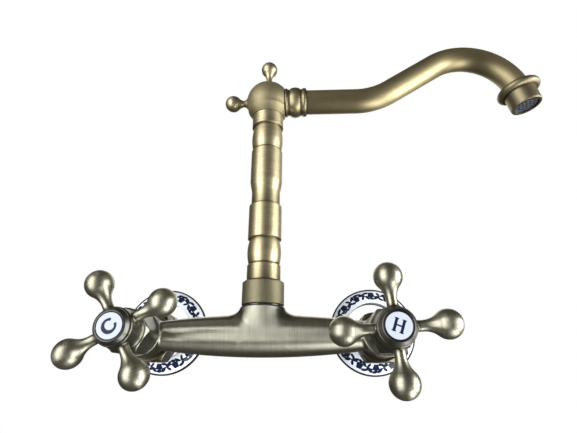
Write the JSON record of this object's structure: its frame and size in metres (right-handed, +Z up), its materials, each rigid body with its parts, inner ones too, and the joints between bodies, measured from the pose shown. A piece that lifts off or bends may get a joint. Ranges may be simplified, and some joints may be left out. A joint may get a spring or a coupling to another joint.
{
  "type": "wall mixer faucet",
  "caption": "Wall-mounted bridge mixer faucet in brushed antique brass, with cross handles, china-faced flanges and a swivelling turned column with an S-bend spout.",
  "frame": {"origin": "on the wall face, midway between the two wall inlets", "axes": "+X to the right as the user faces the wall, +Y into the wall, +Z up"},
  "size_m": [0.317, 0.1074, 0.261],
  "materials": {
    "antique_brass": "brushed antique brass",
    "dark_brass": "dark antiqued brass",
    "gunmetal": "dark polished gunmetal plate",
    "china": "gloss white glaze with a dark blue print",
    "ceramic": "lapped alumina",
    "steel": "plain stainless steel",
    "black_screw": "black oxide",
    "rubber": "black rubber",
    "aerator_plastic": "blue-grey moulded plastic"
  },
  "bodies": {
    "faucet_body": {"mixer_body": "antique_brass", "collar_nut": "antique_brass", "collar_ring": "rubber", "collar_screw": "black_screw", "cold_lower_disc": "ceramic", "cold_seat_seal": "rubber", "cold_cartridge": "dark_brass", "cold_cartridge_o_ring": "rubber", "cold_bonnet": "gunmetal", "cold_union_nut": "dark_brass", "cold_union_washer": "rubber", "cold_s_union": "dark_brass", "cold_flange_dish": "dark_brass", "cold_flange_china": "china", "cold_flange_gasket": "rubber", "hot_lower_disc": "ceramic", "hot_seat_seal": "rubber", "hot_cartridge": "dark_brass", "hot_cartridge_o_ring": "rubber", "hot_bonnet": "gunmetal", "hot_union_nut": "dark_brass", "hot_union_washer": "rubber", "hot_s_union": "dark_brass", "hot_flange_dish": "dark_brass", "hot_flange_china": "china", "hot_flange_gasket": "rubber"},
    "spout": {"split_ring": "steel", "column_o_rings": "rubber", "lower_column": "antique_brass", "column_joint_seal": "rubber", "upper_column": "antique_brass", "head_seal": "rubber", "ball_head": "antique_brass", "top_finial": "antique_brass", "side_finial": "antique_brass", "spout_collar": "antique_brass", "spout_seal": "rubber", "spout_tube": "antique_brass", "outlet_ring": "antique_brass", "aerator_washer": "rubber", "aerator_shell": "antique_brass", "aerator_insert": "aerator_plastic", "aerator_screen": "steel"},
    "cold_control": {"cold_handle": "antique_brass", "cold_index_cap": "gunmetal", "cold_index_disc": "china", "cold_handle_screw": "steel", "cold_spindle": "dark_brass", "cold_spindle_clip": "steel", "cold_spindle_o_rings": "rubber", "cold_upper_disc": "ceramic"},
    "hot_control": {"hot_handle": "antique_brass", "hot_index_cap": "gunmetal", "hot_index_disc": "china", "hot_handle_screw": "steel", "hot_spindle": "dark_brass", "hot_spindle_clip": "steel", "hot_spindle_o_rings": "rubber", "hot_upper_disc": "ceramic"}
  },
  "joints": [
    {"name": "cold_handle_turn", "type": "hinge", "parent": "faucet_body", "child": "cold_control", "pos_m": [-0.075, -0.0847, -0.007], "axis": [0, -1, 0], "range_deg": [0, 90]},
    {"name": "hot_handle_turn", "type": "hinge", "parent": "faucet_body", "child": "hot_control", "pos_m": [0.075, -0.0847, -0.007], "axis": [0, -1, 0], "range_deg": [0, 90]},
    {"name": "spout_swivel", "type": "hinge", "parent": "faucet_body", "child": "spout", "pos_m": [0, -0.044, 0], "axis": [0, 0, 1], "range_deg": [-187, 7]}
  ]
}
